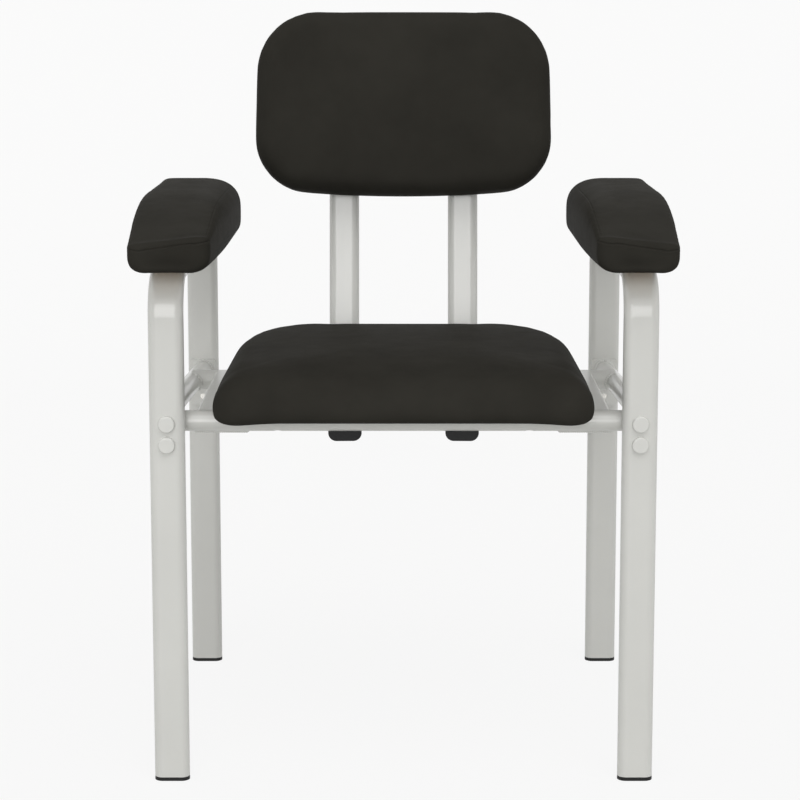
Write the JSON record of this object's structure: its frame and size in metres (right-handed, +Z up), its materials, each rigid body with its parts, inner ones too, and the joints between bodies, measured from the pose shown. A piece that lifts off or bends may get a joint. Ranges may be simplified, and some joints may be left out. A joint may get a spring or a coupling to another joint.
{
  "type": "phlebotomy chair",
  "caption": "Blood-drawing chair with a bolted flat-oval tube frame, a padded seat and back, and a padded armrest with a sloping nose on each side.",
  "frame": {"origin": "on the floor, under the middle of the overall box", "axes": "+Z up, the chair faces -Y, +X is the sitter's left"},
  "size_m": [0.641, 0.5802, 0.9145],
  "materials": {
    "frame": "light grey gloss powder coat",
    "foot_plastic": "black moulded plastic",
    "plug_plastic": "black moulded plastic",
    "cap_plastic": "light grey plastic cap",
    "plated_steel": "zinc plated",
    "plywood": "bare plywood",
    "under_cloth": "black non-woven dust cloth",
    "vinyl": "smooth black vinyl upholstery"
  },
  "bodies": {
    "root": {"left_side_frame": "frame", "right_side_frame": "frame", "left_front_foot": "foot_plastic", "left_rear_foot": "foot_plastic", "right_front_foot": "foot_plastic", "right_rear_foot": "foot_plastic", "front_crossbar": "frame", "rear_crossbar": "frame", "crossbar_plugs": "plug_plastic", "left_side_rail": "frame", "right_side_rail": "frame", "left_seat_bearer": "frame", "right_seat_bearer": "frame", "left_front_bracket": "frame", "left_rear_bracket": "frame", "right_front_bracket": "frame", "right_rear_bracket": "frame", "leg_bolts": "plated_steel", "bolt_caps": "cap_plastic", "left_backrest_bar": "frame", "right_backrest_bar": "frame", "bar_front_plugs": "plug_plastic", "bar_top_plugs": "plug_plastic", "seat_board": "plywood", "seat_under_cloth": "under_cloth", "seat_cushion": "vinyl", "seat_screws": "plated_steel", "seat_tee_nuts": "plated_steel", "backrest_board": "plywood", "backrest_rear_panel": "vinyl", "backrest_cushion": "vinyl", "backrest_screws": "plated_steel", "backrest_tee_nuts": "plated_steel", "left_arm_board": "plywood", "right_arm_board": "plywood", "left_arm_cushion": "vinyl", "right_arm_cushion": "vinyl", "arm_screws": "plated_steel", "arm_tee_nuts": "plated_steel"}
  },
  "joints": []
}
